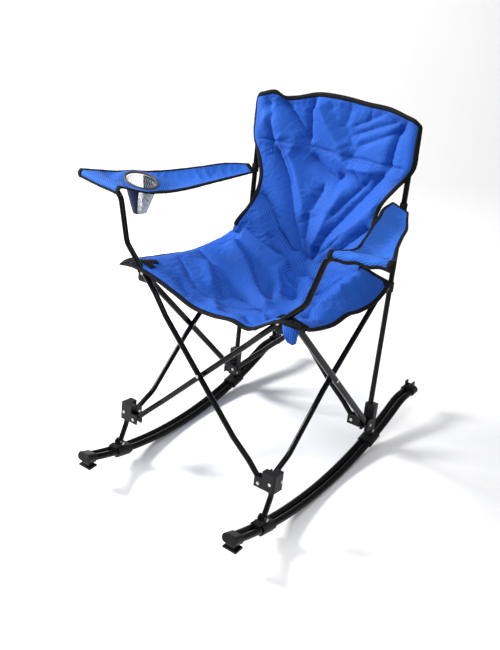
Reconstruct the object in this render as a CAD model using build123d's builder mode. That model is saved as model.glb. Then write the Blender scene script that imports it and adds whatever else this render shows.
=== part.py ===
from build123d import *
import math
import os

# Folding camp chair on two rockers. Millimetres. X points to the sitter's left, Y to the back, Z up.
# The chair itself is modelled in an upright frame, with its posts along Z, and then leaned back as
# one piece to the attitude in which it rests on its rockers. The rockers are modelled on the ground.

# Frame tubes
TUBE_R = 7.5
TUBE_WALL = 1.2
LEAN_DEG = 9
LEANED = Location((0, 10, -30), (-LEAN_DEG, 0, 0))

# Scissor struts: every strut has the same length from its middle rivet to either end pivot
STRUT_HALF = 309.7
EAR_X = 222
STRUT_RISE = math.sqrt(STRUT_HALF**2 - EAR_X**2)
STRUT_END = 5
CROSS_GAP = 8.3
JOGGLE_START = 62
JOGGLE_END = 130

# Front scissor
FRONT_Y = -308
FRONT_CROSS_Z = 350
FRONT_EAR_Z = FRONT_CROSS_Z - STRUT_RISE
CORNER_PIVOT_Z = FRONT_CROSS_Z + STRUT_RISE

# Side scissors
SIDE_HALF = 302.8
SIDE_DEPTH = 220
SIDE_RISE = math.sqrt(SIDE_HALF**2 - SIDE_DEPTH**2)
SIDE_CROSS_Y = -70
SIDE_CROSS_Z = 356
SIDE_FRONT_Y = SIDE_CROSS_Y - SIDE_DEPTH
SIDE_REAR_Y = SIDE_CROSS_Y + SIDE_DEPTH
SIDE_LOW_Z = SIDE_CROSS_Z - SIDE_RISE
SIDE_HIGH_Z = SIDE_CROSS_Z + SIDE_RISE
INNER_BRACE_X = 242
OUTER_BRACE_X = 258

# Rear scissor and posts
REAR_Y = 132
REAR_EAR_Z = 158
REAR_CROSS_Z = REAR_EAR_Z + STRUT_RISE
POST_X = 250
POST_Y = 170
POST_TOP = 1000

# Rivets and the clearances around them
RIVET_R = 2.5
RIVET_HOLE_R = 2.55
HEAD_R = 4.6
HEAD_H = 1.6
CHEEK = 4.2
GAP = 0.3

# Rockers, on the ground: a pair of round tubes side by side, bent to one arc
ROCKER_R = 9.5
ROCKER_WALL = 1.5
ROCKER_X = 258
ROCKER_PITCH = 21
ROCKER_ARC_R = 1040
ROCKER_ARC_Y = -20
ROCKER_ARC_Z = ROCKER_ARC_R + ROCKER_R
ROCKER_HALF = 447
ROCKER_FRONT_Y = -438
ROCKER_BEND_Y = 345
TAIL_BEND_R = 120
CAP_END = 5
FOOT_PIVOT = (-308.5, 73.5)
SLIDER_PIVOT = (200, 63)
SLIDER_LENGTH = 46

# Arms
ARM_TIP = (446, -300, 772)
ARM_REAR_Z = 788
ARM_FRONT_Z = 756
ARM_THICK = 3
CUP_X = 376
CUP_Y = -178
CUP_HOLE_R = 44
POUCH_DEPTH = 88

# Fabric
SEAT_HALF = 226
BACK_HALF = 238
BACK_TOP = 1034
CLOTH = 4


def save(name, part):
    part.label = name
    export_step(part, f"parts/{name}.step")


def save_pair(name, part):
    save(f"left_{name}", part)
    save(f"right_{name}", mirror(part, about=Plane.YZ))


def save_leaned(name, part):
    save(name, part.moved(LEANED))


def save_leaned_pair(name, part):
    save_pair(name, part.moved(LEANED))


def across(x, y, z):
    """A plane whose normal is +X, for a rivet that runs across the chair."""
    return Plane(origin=(x, y, z), x_dir=(0, 1, 0), z_dir=(1, 0, 0))


def along(x, y, z):
    """A plane whose normal is +Y, for a rivet that runs front to back."""
    return Plane(origin=(x, y, z), x_dir=(1, 0, 0), z_dir=(0, 1, 0))


def tube(points, bends, rivets=(), radius=TUBE_R, wall=TUBE_WALL):
    """A round tube along straight runs joined by bends, drilled through at the rivet planes."""
    with BuildPart() as piece:
        with BuildLine() as route:
            FilletPolyline(*points, radius=bends)
        with BuildSketch(Plane(origin=route.line @ 0, z_dir=route.line % 0)):
            Circle(radius)
            Circle(radius - wall, mode=Mode.SUBTRACT)
        sweep()
        for plane in rivets:
            drill(plane, -2 * radius, 2 * radius)
    return piece.part


def straight_tube(start, end, rivets=(), radius=TUBE_R, wall=TUBE_WALL):
    """A straight round tube, drilled through at the rivet planes."""
    run = Vector(*end) - Vector(*start)
    with BuildPart() as piece:
        with BuildSketch(Plane(origin=start, z_dir=run)):
            Circle(radius)
            Circle(radius - wall, mode=Mode.SUBTRACT)
        extrude(amount=run.length)
        for plane in rivets:
            drill(plane, -2 * radius, 2 * radius)
    return piece.part


def add_bar(plane, radius, start, end, mode=Mode.ADD):
    """A round bar along a plane's normal, between two offsets, inside the active part."""
    with Locations(plane.offset(start).location):
        Cylinder(radius, end - start, align=(Align.CENTER, Align.CENTER, Align.MIN), mode=mode)


def add_rivet(plane, length, heads=(True, True)):
    """A round-headed rivet along the plane's normal, inside the active part."""
    add_bar(plane, RIVET_R, 0, length)
    if heads[0]:
        add_bar(plane, HEAD_R, -HEAD_H, 0)
    if heads[1]:
        add_bar(plane, HEAD_R, length, length + HEAD_H)


def drill(plane, start, end):
    """A rivet hole along the plane's normal, inside the active part."""
    add_bar(plane, RIVET_HOLE_R, start, end, mode=Mode.SUBTRACT)


def add_block(low, high, mode=Mode.ADD):
    """A box between two opposite corners, inside the active part."""
    size = [b - a for a, b in zip(low, high)]
    middle = [(a + b) / 2 for a, b in zip(low, high)]
    with Locations(tuple(middle)):
        Box(*size, mode=mode)


# Front arm tubes. Each starts at the hub on the other side, crosses its twin at the middle rivet,
# runs out through the seat corner, turns up as the arm post and turns outward inside the armrest.
UNIT_X = EAR_X / STRUT_HALF
UNIT_Z = STRUT_RISE / STRUT_HALF


def scissor_point(distance, cross_z, y):
    """A point on a strut, at a signed distance from its middle rivet towards its upper end."""
    return (distance * UNIT_X, y, cross_z + distance * UNIT_Z)


def crossing_run(cross_z, y, gap, last):
    """The route of a strut from its lower end to the given distance, stepping aside at the middle."""
    return [
        scissor_point(-STRUT_HALF - STRUT_END, cross_z, y),
        scissor_point(-STRUT_HALF + JOGGLE_START, cross_z, y),
        scissor_point(-STRUT_HALF + JOGGLE_END, cross_z, y + gap),
        scissor_point(STRUT_HALF - JOGGLE_END, cross_z, y + gap),
        scissor_point(STRUT_HALF - JOGGLE_START, cross_z, y),
        scissor_point(last, cross_z, y),
    ]


LOW_BEND = 404
ARM_BEND = (326, -304, 757)


def arm_tube(gap):
    points = crossing_run(FRONT_CROSS_Z, FRONT_Y, gap, LOW_BEND) + [ARM_BEND, ARM_TIP]
    rivets = (
        along(-EAR_X, FRONT_Y, FRONT_EAR_Z),
        along(0, FRONT_Y + gap, FRONT_CROSS_Z),
        along(EAR_X, FRONT_Y, CORNER_PIVOT_Z),
    )
    return tube(points, [60, 60, 60, 60, 46, 38], rivets)


save_leaned("left_arm_tube", arm_tube(CROSS_GAP))
save_leaned("right_arm_tube", mirror(arm_tube(-CROSS_GAP), about=Plane.YZ))

with BuildPart() as front_cross_rivet:
    add_rivet(along(0, FRONT_Y - CROSS_GAP - TUBE_R - 0.4, FRONT_CROSS_Z), 2 * (CROSS_GAP + TUBE_R + 0.4))
    add_bar(along(0, FRONT_Y, FRONT_CROSS_Z), HEAD_R, TUBE_R + 0.2 - CROSS_GAP, CROSS_GAP - TUBE_R - 0.2)
save_leaned("front_cross_rivet", front_cross_rivet.part)

# Plug in the outer end of each arm tube
TIP_AXIS = Vector(*ARM_TIP) - Vector(*ARM_BEND)
with BuildPart() as arm_plug:
    with BuildSketch(Plane(origin=ARM_TIP, z_dir=TIP_AXIS)):
        Circle(TUBE_R)
    extrude(amount=4)
    fillet(arm_plug.edges().group_by(Axis.X)[-1], 2.5)
    with BuildSketch(Plane(origin=ARM_TIP, z_dir=TIP_AXIS)):
        Circle(TUBE_R - TUBE_WALL - 0.05)
    extrude(amount=-12)
save_leaned_pair("arm_plug", arm_plug.part)

# Seat corner brackets: each is pinned to its arm tube and carries the top of the outer side brace
with BuildPart() as front_corner:
    add_block((207, FRONT_Y + TUBE_R + GAP, 536), (OUTER_BRACE_X - TUBE_R - 0.6, -277, 578))
    fillet(front_corner.edges().filter_by(Axis.Y), 6)
    drill(along(EAR_X, FRONT_Y, CORNER_PIVOT_Z), 0, 40)
save_leaned_pair("front_corner", front_corner.part)

CORNER_RIVET_Y = FRONT_Y - TUBE_R - 0.4
with BuildPart() as front_corner_rivet:
    add_rivet(along(EAR_X, CORNER_RIVET_Y, CORNER_PIVOT_Z), -277 + 0.3 - CORNER_RIVET_Y)
save_leaned_pair("front_corner_rivet", front_corner_rivet.part)

# Front hubs: a block on top of the leg tube, with an ear inward for the arm tube of the other side
# and an ear backward for the inner side brace
HUB_LOW = 122
HUB_HIGH = 172
SWING_R = 9.3
EAR_WALL_X = EAR_X + SWING_R
EAR_FRONT = FRONT_Y - TUBE_R - GAP
EAR_BACK = FRONT_Y + TUBE_R + GAP
BRACE_IN = INNER_BRACE_X - TUBE_R - GAP
BRACE_OUT = INNER_BRACE_X + TUBE_R + GAP
HUB_OUTER = 272
with BuildPart() as front_hub:
    add_block((EAR_WALL_X, EAR_FRONT - CHEEK, HUB_LOW), (HUB_OUTER, EAR_BACK, HUB_HIGH))
    add_block((BRACE_OUT, EAR_FRONT - CHEEK, HUB_LOW), (HUB_OUTER, -280, HUB_HIGH))
    fillet(front_hub.edges().filter_by(Axis.Z).group_by(Axis.X)[-1], 5)
    add_block((209, EAR_FRONT - CHEEK, HUB_LOW), (EAR_WALL_X, EAR_FRONT, 150))
    add_block((209, EAR_BACK, HUB_LOW), (BRACE_IN, EAR_BACK + CHEEK, 150))
    add_block((BRACE_IN - CHEEK, EAR_BACK, 134), (BRACE_IN, -278, 162))
    with BuildSketch(Plane(origin=(OUTER_BRACE_X, FRONT_Y, 166))):
        Circle(TUBE_R + 0.05)
    extrude(amount=-60, mode=Mode.SUBTRACT)
    drill(along(EAR_X, FRONT_Y, FRONT_EAR_Z), -20, 20)
    drill(along(OUTER_BRACE_X, FRONT_Y, 145), -20, 0)
    drill(across(OUTER_BRACE_X, SIDE_FRONT_Y, SIDE_LOW_Z), -40, 20)
save_leaned_pair("front_hub", front_hub.part)

with BuildPart() as front_hub_rivets:
    add_rivet(along(EAR_X, EAR_FRONT - CHEEK - 0.1, FRONT_EAR_Z), EAR_BACK - EAR_FRONT + 2 * CHEEK + 0.2)
    add_rivet(along(OUTER_BRACE_X, EAR_FRONT - CHEEK - 0.1, 145), 10, heads=(True, False))
    add_rivet(across(BRACE_IN - CHEEK - 0.1, SIDE_FRONT_Y, SIDE_LOW_Z), HUB_OUTER - BRACE_IN + CHEEK + 0.2)
save_leaned_pair("front_hub_rivets", front_hub_rivets.part)


def upright(y, z):
    """A ground point of the side view, in the upright frame."""
    lean = math.radians(LEAN_DEG)
    back = y - LEANED.position.Y
    up = z - LEANED.position.Z
    return (back * math.cos(lean) - up * math.sin(lean), back * math.sin(lean) + up * math.cos(lean))


# Leg tubes, from each front hub down to the rocker's front bracket
FOOT = upright(*FOOT_PIVOT)
LEG_END = Vector(0, FOOT[0], FOOT[1]) - Vector(0, FRONT_Y, 108)
LEG_STOP = Vector(0, FOOT[0], FOOT[1]) + LEG_END.normalized() * STRUT_END
LEG_TUBE = tube(
    [(OUTER_BRACE_X, FRONT_Y, 165.5), (OUTER_BRACE_X, FRONT_Y, 108), (OUTER_BRACE_X, LEG_STOP.Y, LEG_STOP.Z)],
    [40],
    (across(OUTER_BRACE_X, FOOT[0], FOOT[1]),),
)
with BuildPart() as leg_tube:
    add(LEG_TUBE)
    drill(along(OUTER_BRACE_X, FRONT_Y, 145), -20, 0)
save_leaned_pair("leg_tube", leg_tube.part)


# Side braces. The inner one rises from the front hub to the rear seat corner with two bends, the
# outer one falls straight from the front seat corner to the rear hub.
def side_point(distance, falling=False):
    """A point on a side strut, at a signed distance from the side rivet towards its upper end."""
    back = -distance if falling else distance
    return (
        SIDE_CROSS_Y + back * SIDE_DEPTH / SIDE_HALF,
        SIDE_CROSS_Z + distance * SIDE_RISE / SIDE_HALF,
    )


LOW_RUN = Vector(0, -225, 186) - Vector(0, SIDE_FRONT_Y, SIDE_LOW_Z)
LOW_STOP = Vector(0, SIDE_FRONT_Y, SIDE_LOW_Z) - LOW_RUN.normalized() * STRUT_END
inner_route = [side_point(SIDE_HALF + STRUT_END), side_point(-40), (-225, 186), (LOW_STOP.Y, LOW_STOP.Z)]
save_leaned_pair(
    "inner_side_brace",
    tube(
        [(INNER_BRACE_X, y, z) for y, z in inner_route],
        [90, 60],
        (
            across(INNER_BRACE_X, SIDE_REAR_Y, SIDE_HIGH_Z),
            across(INNER_BRACE_X, SIDE_CROSS_Y, SIDE_CROSS_Z),
            across(INNER_BRACE_X, SIDE_FRONT_Y, SIDE_LOW_Z),
        ),
    ),
)

BRACE_TOP = 292
OVAL_LONG = 17
OVAL_SHORT = 14
top_y, top_z = side_point(BRACE_TOP + STRUT_END, falling=True)
end_y, end_z = side_point(-SIDE_HALF - STRUT_END, falling=True)
fall = Vector(0, end_y - top_y, end_z - top_z)
with BuildPart() as outer_side_brace:
    with BuildSketch(Plane(origin=(OUTER_BRACE_X, top_y, top_z), x_dir=(1, 0, 0), z_dir=fall)):
        RectangleRounded(OVAL_SHORT, OVAL_LONG, 5)
        offset(amount=-TUBE_WALL, mode=Mode.SUBTRACT)
    extrude(amount=fall.length)
    for y, z in (side_point(BRACE_TOP, True), side_point(0, True), side_point(-SIDE_HALF, True)):
        drill(across(OUTER_BRACE_X, y, z), -2 * TUBE_R, 2 * TUBE_R)
save_leaned_pair("outer_side_brace", outer_side_brace.part)

with BuildPart() as side_cross_rivet:
    add_rivet(across(INNER_BRACE_X - TUBE_R - 0.3, SIDE_CROSS_Y, SIDE_CROSS_Z), 2 * TUBE_R + 16.6)
save_leaned_pair("side_cross_rivet", side_cross_rivet.part)

# A short pin in the top of the outer brace, where it meets the seat corner bracket
pin_y, pin_z = side_point(BRACE_TOP, falling=True)
with BuildPart() as brace_top_pin:
    add_rivet(across(OUTER_BRACE_X - TUBE_R - 0.2, pin_y, pin_z), 2 * TUBE_R + 0.4, heads=(False, True))
save_leaned_pair("brace_top_pin", brace_top_pin.part)

# Rear hubs: a socket for the post, a fork for the outer side brace, an ear inward for the rear
# strut and a fork below that straddles the slider on the rocker
FORK_IN = OUTER_BRACE_X - TUBE_R - GAP
FORK_OUT = OUTER_BRACE_X + TUBE_R + GAP
FORK_BACK = 160.6
REAR_HUB_OUTER = FORK_OUT + CHEEK
SLIDE_Y, SLIDE_Z = upright(*SLIDER_PIVOT)
with BuildPart() as rear_hub:
    add_block((238, FORK_BACK, 136), (REAR_HUB_OUTER, 184, 206))
    fillet(rear_hub.edges().filter_by(Axis.Z).group_by(Axis.Y)[-1], 5)
    add_block((244, 137, 130), (FORK_IN, FORK_BACK, 166))
    add_block((FORK_OUT, 137, 130), (REAR_HUB_OUTER, FORK_BACK, 166))
    add_block((EAR_WALL_X, REAR_Y - TUBE_R - GAP - CHEEK, 144), (FORK_IN, REAR_Y + TUBE_R + GAP + CHEEK, 172))
    add_block((209, REAR_Y - TUBE_R - GAP - CHEEK, 144), (EAR_WALL_X, REAR_Y - TUBE_R - GAP, 172))
    add_block((209, REAR_Y + TUBE_R + GAP, 144), (EAR_WALL_X, REAR_Y + TUBE_R + GAP + CHEEK, 172))
    for low_x in (FORK_IN - CHEEK, FORK_OUT):
        add_block((low_x, SLIDE_Y - 9, SLIDE_Z - 7), (low_x + CHEEK, SLIDE_Y + 9, 140))
    with BuildSketch(Plane(origin=(POST_X, POST_Y, 158))):
        Circle(TUBE_R + 0.05)
    extrude(amount=60, mode=Mode.SUBTRACT)
    drill(along(EAR_X, REAR_Y, REAR_EAR_Z), -20, 20)
    drill(across(OUTER_BRACE_X, SIDE_REAR_Y, SIDE_LOW_Z), -20, 20)
    drill(across(OUTER_BRACE_X, SLIDE_Y, SLIDE_Z), -20, 20)
save_leaned_pair("rear_hub", rear_hub.part)

with BuildPart() as rear_hub_rivets:
    add_rivet(
        along(EAR_X, REAR_Y - TUBE_R - GAP - CHEEK - 0.1, REAR_EAR_Z), 2 * (TUBE_R + GAP + CHEEK + 0.1)
    )
    add_rivet(across(243.9, SIDE_REAR_Y, SIDE_LOW_Z), REAR_HUB_OUTER - 243.8, heads=(False, True))
    add_rivet(across(FORK_OUT + 0.2, SLIDE_Y, SLIDE_Z), CHEEK, heads=(False, True))
    add_rivet(across(FORK_IN - CHEEK - 0.2, SLIDE_Y, SLIDE_Z), CHEEK, heads=(True, False))
save_leaned_pair("rear_hub_rivets", rear_hub_rivets.part)

save_leaned_pair(
    "rear_post", straight_tube((POST_X, POST_Y, 158.2), (POST_X, POST_Y, POST_TOP))
)
with BuildPart() as post_cap:
    with BuildSketch(Plane(origin=(POST_X, POST_Y, POST_TOP + 0.05))):
        Circle(TUBE_R + 1)
    extrude(amount=7)
    fillet(post_cap.edges().group_by(Axis.Z)[-1], 4)
    with BuildSketch(Plane(origin=(POST_X, POST_Y, POST_TOP + 0.05))):
        Circle(TUBE_R - TUBE_WALL - 0.05)
    extrude(amount=-14)
save_leaned_pair("post_cap", post_cap.part)


# Rear struts, from each rear hub to the opposite rear seat corner
def rear_strut(gap):
    points = crossing_run(REAR_CROSS_Z, REAR_Y, gap, STRUT_HALF + STRUT_END)
    rivets = (
        along(-EAR_X, REAR_Y, REAR_EAR_Z),
        along(0, REAR_Y + gap, REAR_CROSS_Z),
        along(EAR_X, REAR_Y, REAR_CROSS_Z + STRUT_RISE),
    )
    return tube(points, [60, 60, 60, 60], rivets)


def rear_strut_pins(gap, has_middle):
    """The pin left in a strut's upper end, and the pin of one strut at the crossing."""
    with BuildPart() as pins:
        add_rivet(
            along(EAR_X, REAR_Y - TUBE_R - 0.2, REAR_CROSS_Z + STRUT_RISE),
            2 * TUBE_R + 0.6,
            heads=(True, False),
        )
        if has_middle:
            add_rivet(
                along(0, REAR_Y + gap - TUBE_R - 0.2, REAR_CROSS_Z), 2 * TUBE_R + 0.4, heads=(True, False)
            )
    return pins.part


save_leaned("right_rear_strut", rear_strut(CROSS_GAP))
save_leaned("left_rear_strut", mirror(rear_strut(-CROSS_GAP), about=Plane.YZ))
save_leaned("right_rear_strut_pin", rear_strut_pins(CROSS_GAP, False))
save_leaned("left_rear_strut_pins", mirror(rear_strut_pins(-CROSS_GAP, True), about=Plane.YZ))

# Rear seat corners: sleeves that slide on the posts, pinned to the tops of the inner side braces
SLEEVE_LOW = SIDE_HIGH_Z - 14
SLEEVE_HIGH = SIDE_HIGH_Z + 12
with BuildPart() as rear_corner:
    with BuildSketch(Plane(origin=(POST_X, POST_Y, SLEEVE_LOW))):
        Circle(10.5)
    extrude(amount=SLEEVE_HIGH - SLEEVE_LOW)
    add_block((BRACE_IN - CHEEK, FORK_BACK, SLEEVE_LOW), (242, 178, SLEEVE_HIGH))
    add_block((BRACE_IN - CHEEK, 138, SLEEVE_LOW), (BRACE_IN, FORK_BACK, SLEEVE_HIGH))
    add_block((BRACE_OUT, 138, SLEEVE_LOW), (BRACE_OUT + CHEEK, 166, SLEEVE_HIGH))
    add_block((212, 141.2, SLEEVE_LOW), (BRACE_IN, 145, SLEEVE_HIGH))
    with BuildSketch(Plane(origin=(POST_X, POST_Y, SLEEVE_LOW))):
        Circle(TUBE_R + 0.4)
    extrude(amount=SLEEVE_HIGH - SLEEVE_LOW, mode=Mode.SUBTRACT)
    drill(across(INNER_BRACE_X, SIDE_REAR_Y, SIDE_HIGH_Z), -20, 20)
save_leaned_pair("rear_corner", rear_corner.part)

with BuildPart() as rear_corner_rivet:
    add_rivet(
        across(BRACE_IN - CHEEK - 0.1, SIDE_REAR_Y, SIDE_HIGH_Z),
        BRACE_OUT - BRACE_IN + 2 * CHEEK + 0.2,
    )
save_leaned_pair("rear_corner_rivet", rear_corner_rivet.part)


# Rockers, modelled where they stand on the ground
def arc_height(y):
    """The height of the rocker tubes' centre line."""
    return ROCKER_ARC_Z - math.sqrt(ROCKER_ARC_R**2 - (y - ROCKER_ARC_Y) ** 2)


def arc_slope(y):
    """The slope of the rocker tubes, in degrees."""
    return math.degrees(math.asin((y - ROCKER_ARC_Y) / ROCKER_ARC_R))


FRONT_ANGLE = -90 + arc_slope(ROCKER_FRONT_Y)
SWEEP = arc_slope(ROCKER_BEND_Y) - arc_slope(ROCKER_FRONT_Y)
TAIL_TURN = arc_slope(ROCKER_BEND_Y)
TAIL_Y = ROCKER_BEND_Y + TAIL_BEND_R * math.sin(math.radians(TAIL_TURN))


def rocker_tube(x):
    side = Plane(origin=(x, 0, 0), x_dir=(0, 1, 0), z_dir=(1, 0, 0))
    with BuildPart() as piece:
        with BuildLine(side) as route:
            arc = CenterArc((ROCKER_ARC_Y, ROCKER_ARC_Z), ROCKER_ARC_R, FRONT_ANGLE, SWEEP)
            bend = JernArc(arc @ 1, arc % 1, TAIL_BEND_R, -TAIL_TURN)
            Line(bend @ 1, bend @ 1 + (bend % 1) * (ROCKER_HALF - CAP_END - TAIL_Y))
        with BuildSketch(Plane(origin=route.line @ 0, z_dir=route.line % 0)):
            Circle(ROCKER_R)
            Circle(ROCKER_R - ROCKER_WALL, mode=Mode.SUBTRACT)
        sweep()
    return piece.part


INNER_TUBE_X = ROCKER_X - ROCKER_PITCH / 2
OUTER_TUBE_X = ROCKER_X + ROCKER_PITCH / 2
save_pair("rocker_inner_tube", rocker_tube(INNER_TUBE_X))
save_pair("rocker_outer_tube", rocker_tube(OUTER_TUBE_X))


def rocker_bore(radius, from_y, to_y):
    """The two bars that the tubes' path sweeps out, from one station to another."""
    first = arc_slope(from_y) - 90
    turn = arc_slope(to_y) - arc_slope(from_y)
    with BuildPart() as bars:
        for x in (INNER_TUBE_X, OUTER_TUBE_X):
            with BuildLine(Plane(origin=(x, 0, 0), x_dir=(0, 1, 0), z_dir=(1, 0, 0))) as route:
                CenterArc((ROCKER_ARC_Y, ROCKER_ARC_Z), ROCKER_ARC_R, first, turn)
            with BuildSketch(Plane(origin=route.line @ 0, z_dir=route.line % 0)):
                Circle(radius)
            sweep(path=route.line)
    return bars.part


def station(y, shift=0):
    """A plane across the rocker at a station, its normal along the tubes to the back."""
    heading = math.radians(arc_slope(y))
    place = (ROCKER_X, y, arc_height(y))
    return Plane(origin=place, x_dir=(1, 0, 0), z_dir=(0, math.cos(heading), math.sin(heading))).offset(shift)


BRACKET_WALL = 3.6
FLANGE_DROP = 7
BRACKET_LENGTH = 52
FOOT_Y, FOOT_Z = FOOT_PIVOT
bracket_bore = rocker_bore(ROCKER_R + 0.05, FOOT_Y - 60, FOOT_Y + 60)
with BuildPart() as rocker_bracket:
    with BuildSketch(station(FOOT_Y, -BRACKET_LENGTH / 2)):
        SlotCenterToCenter(ROCKER_PITCH, 2 * (ROCKER_R + BRACKET_WALL))
        with Locations((0, ROCKER_R)):
            RectangleRounded(ROCKER_PITCH + 12, 2 * FLANGE_DROP, 3)
    extrude(amount=BRACKET_LENGTH)
    for low_x in (FORK_IN - CHEEK, FORK_OUT):
        with BuildSketch(across(low_x, FOOT_Y, FOOT_Z)):
            Circle(9.5)
            with Locations((-3, -13)):
                Rectangle(26, 18)
        extrude(amount=CHEEK)
    add_block((FORK_IN - CHEEK, FOOT_Y - 32, FOOT_Z - 12), (FORK_OUT + CHEEK, FOOT_Y - 14, FOOT_Z + 2))
    add(bracket_bore, mode=Mode.SUBTRACT)
    drill(across(OUTER_BRACE_X, FOOT_Y, FOOT_Z), -20, 20)
save_pair("rocker_bracket", rocker_bracket.part)

# Slider: a block that runs along both tubes, with a lug up into the rear hub's lower fork
LUG_HALF = FORK_OUT - OUTER_BRACE_X - 2.2
SLIDER_Y, SLIDER_Z = SLIDER_PIVOT
slider_bore = rocker_bore(ROCKER_R + 0.4, SLIDER_Y - 60, SLIDER_Y + 60)
with BuildPart() as slider:
    with BuildSketch(station(SLIDER_Y, -SLIDER_LENGTH / 2)):
        SlotCenterToCenter(ROCKER_PITCH, 2 * (ROCKER_R + BRACKET_WALL))
    extrude(amount=SLIDER_LENGTH)
    with BuildSketch(across(OUTER_BRACE_X - LUG_HALF, SLIDER_Y, SLIDER_Z)):
        Circle(8)
        with Locations((0, -11)):
            Rectangle(16, 22)
    extrude(amount=2 * LUG_HALF)
    add(slider_bore, mode=Mode.SUBTRACT)
save_pair("slider", slider.part)

# End caps. The front one has a small foot plate under a neck, the rear one a hooked rest
CAP_R = 12.8
CAP_LENGTH = 30
cap_bore = rocker_bore(ROCKER_R + 0.05, ROCKER_FRONT_Y, ROCKER_FRONT_Y + 60)
with BuildPart() as front_cap:
    with BuildSketch(station(ROCKER_FRONT_Y, -CAP_END)):
        SlotCenterToCenter(ROCKER_PITCH, 2 * CAP_R)
    extrude(amount=CAP_LENGTH)
    fillet(front_cap.edges().group_by(Axis.Y)[0], 2)
    cap_y = ROCKER_FRONT_Y + 9
    cap_z = arc_height(cap_y)
    add_block((ROCKER_X - 13, cap_y - 10, cap_z - 24), (ROCKER_X + 13, cap_y + 10, cap_z - 8))
    add_block((ROCKER_X - 21, cap_y - 15, cap_z - 29), (ROCKER_X + 21, cap_y + 13, cap_z - 24))
    add_block((ROCKER_X - 12, cap_y + 10, cap_z - 17), (ROCKER_X + 12, cap_y + 30, cap_z - 8))
    add(cap_bore, mode=Mode.SUBTRACT)
save_pair("rocker_front_cap", front_cap.part)

tail_y = ROCKER_HALF - CAP_END
tail_z = arc_height(ROCKER_BEND_Y) + TAIL_BEND_R * (1 - math.cos(math.radians(TAIL_TURN)))
with BuildPart() as rear_cap:
    with BuildSketch(along(ROCKER_X, tail_y - 22, tail_z)):
        SlotCenterToCenter(ROCKER_PITCH, 2 * CAP_R)
    extrude(amount=22 + CAP_END)
    fillet(rear_cap.edges().group_by(Axis.Y)[-1], 2)
    for x in (INNER_TUBE_X, OUTER_TUBE_X):
        with BuildSketch(along(x, tail_y - 22, tail_z)):
            Circle(ROCKER_R + 0.05)
        extrude(amount=22.05, mode=Mode.SUBTRACT)
    add_block((ROCKER_X - 12, tail_y - 18, tail_z + ROCKER_R + 0.4), (ROCKER_X + 12, tail_y + 2, tail_z + 17))
    for low_x in (ROCKER_X - 13, ROCKER_X + 9):
        add_block((low_x, tail_y - 16, tail_z + 14), (low_x + 4, tail_y, tail_z + 30))
save_pair("rocker_rear_cap", rear_cap.part)


# Rivets that stay on the rocker: the leg's pivot and two heads under the bracket
with BuildPart() as rocker_rivets:
    add_rivet(across(FORK_IN - CHEEK - 0.1, FOOT_Y, FOOT_Z), FORK_OUT - FORK_IN + 2 * CHEEK + 0.2)
    for y in (FOOT_Y - 12, FOOT_Y + 12):
        below = station(y)
        flange = below.origin + below.y_dir * (ROCKER_R + FLANGE_DROP + 0.4)
        add_bar(Plane(origin=flange, x_dir=(1, 0, 0), z_dir=below.y_dir), HEAD_R, 0, HEAD_H)
save_pair("rocker_rivets", rocker_rivets.part)

# Armrests: a tapering panel from the arm tube's outward run to the rear post
ARM_FRONT_Y = -288
ARM_BACK_Y = 158
arm_plane = Plane(
    origin=(0, ARM_FRONT_Y, ARM_FRONT_Z),
    x_dir=(1, 0, 0),
    z_dir=Vector(0, -(ARM_REAR_Z - ARM_FRONT_Z), ARM_BACK_Y - ARM_FRONT_Y),
)


def arm_outline():
    length = ARM_BACK_Y - ARM_FRONT_Y
    corners = ((318, 0), (470, 0), (474, 34), (306, length), (262, length), (256, length - 20))
    Polygon(*corners, align=None)


with BuildPart() as left_armrest:
    with BuildSketch(arm_plane):
        arm_outline()
    extrude(amount=ARM_THICK)
save_leaned("left_armrest", left_armrest.part)

cup_centre = (CUP_X, CUP_Y - ARM_FRONT_Y)
with BuildPart() as right_armrest:
    with BuildSketch(arm_plane):
        arm_outline()
        with Locations(cup_centre):
            Circle(CUP_HOLE_R, mode=Mode.SUBTRACT)
    extrude(amount=ARM_THICK)
save_leaned("right_armrest", mirror(right_armrest.part, about=Plane.YZ))

with BuildPart() as cup_ring:
    with BuildSketch(arm_plane.offset(ARM_THICK)):
        with Locations(cup_centre):
            Circle(CUP_HOLE_R + 5)
            Circle(CUP_HOLE_R - 2, mode=Mode.SUBTRACT)
    extrude(amount=2.4)
    with BuildSketch(arm_plane.offset(-1.4)):
        with Locations(cup_centre):
            Circle(CUP_HOLE_R - 0.1)
            Circle(CUP_HOLE_R - 2, mode=Mode.SUBTRACT)
    extrude(amount=ARM_THICK + 1.4)
save_leaned("cup_ring", mirror(cup_ring.part, about=Plane.YZ))

POUCH_LOW_R = 24
with BuildPart() as cup_pouch:
    for shrink, floor_z, mode in ((0, 0, Mode.ADD), (1.6, 1.6, Mode.SUBTRACT)):
        with BuildSketch(arm_plane.offset(-1.5 - POUCH_DEPTH + floor_z)):
            with Locations(cup_centre):
                Circle(POUCH_LOW_R - shrink)
        with BuildSketch(arm_plane.offset(-1.5)):
            with Locations(cup_centre):
                Circle(CUP_HOLE_R - shrink)
        loft(mode=mode)
save_leaned("cup_pouch", mirror(cup_pouch.part, about=Plane.YZ))


# Sling: one cloth for seat and back, as two plain sheets that meet at the crease
def cloth_profile(points):
    """A band of cloth thickness below or behind a polyline of the side view."""
    lower = []
    for index, (y, z) in enumerate(points):
        ahead = points[min(index + 1, len(points) - 1)]
        behind = points[max(index - 1, 0)]
        run = Vector(ahead[0] - behind[0], ahead[1] - behind[1]).normalized()
        lower.append((y + run.Y * CLOTH, z - run.X * CLOTH))
    Polygon(*points, *reversed(lower), align=None)


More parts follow.
